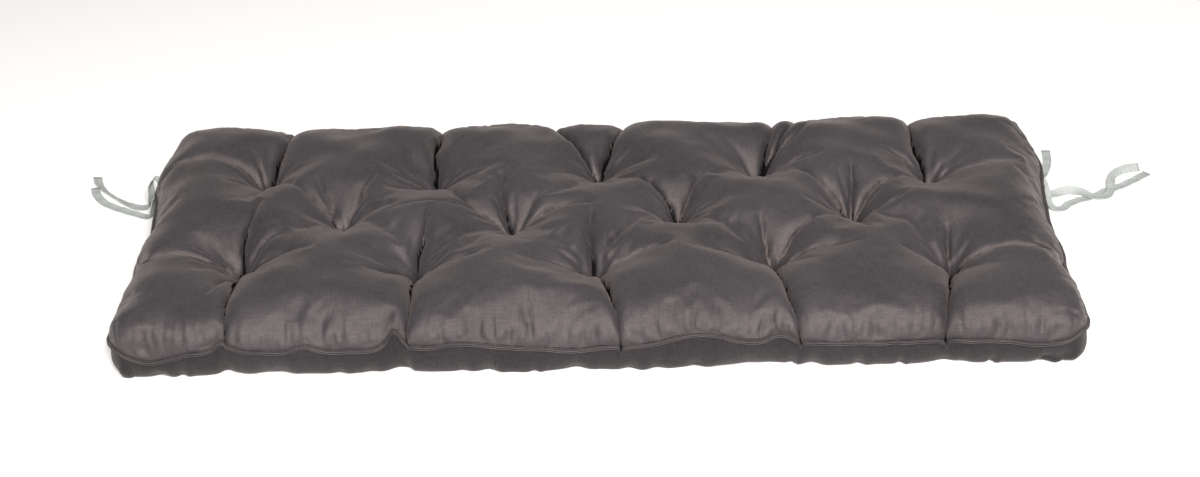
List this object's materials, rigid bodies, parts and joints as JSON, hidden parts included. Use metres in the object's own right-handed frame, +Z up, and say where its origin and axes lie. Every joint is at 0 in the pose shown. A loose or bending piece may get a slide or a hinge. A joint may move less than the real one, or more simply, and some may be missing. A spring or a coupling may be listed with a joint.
{
  "type": "bench cushion",
  "caption": "Rectangular tufted bench cushion with a swelling top panel, flat underside, raised seam welt and flat tape ties at the back corners.",
  "frame": {"origin": "on the floor, under the middle of the cushion's body", "axes": "+X along the cushion's length to its right end, +Y to its back edge, where the ties are, +Z up through its thickness"},
  "size_m": [1.5076, 0.537, 0.1008],
  "materials": {
    "cushion_cloth": "satin weave, dark warm grey",
    "welt_cloth": "satin weave folded over a seam, dark warm grey",
    "tape_cloth": "plain woven tape, pale grey"
  },
  "bodies": {
    "root": {"cushion": "cushion_cloth", "seam_welt": "welt_cloth", "tie_left_a": "tape_cloth", "tie_left_b": "tape_cloth", "tie_right_a": "tape_cloth", "tie_right_b": "tape_cloth", "tie_back_right": "tape_cloth"}
  },
  "joints": []
}
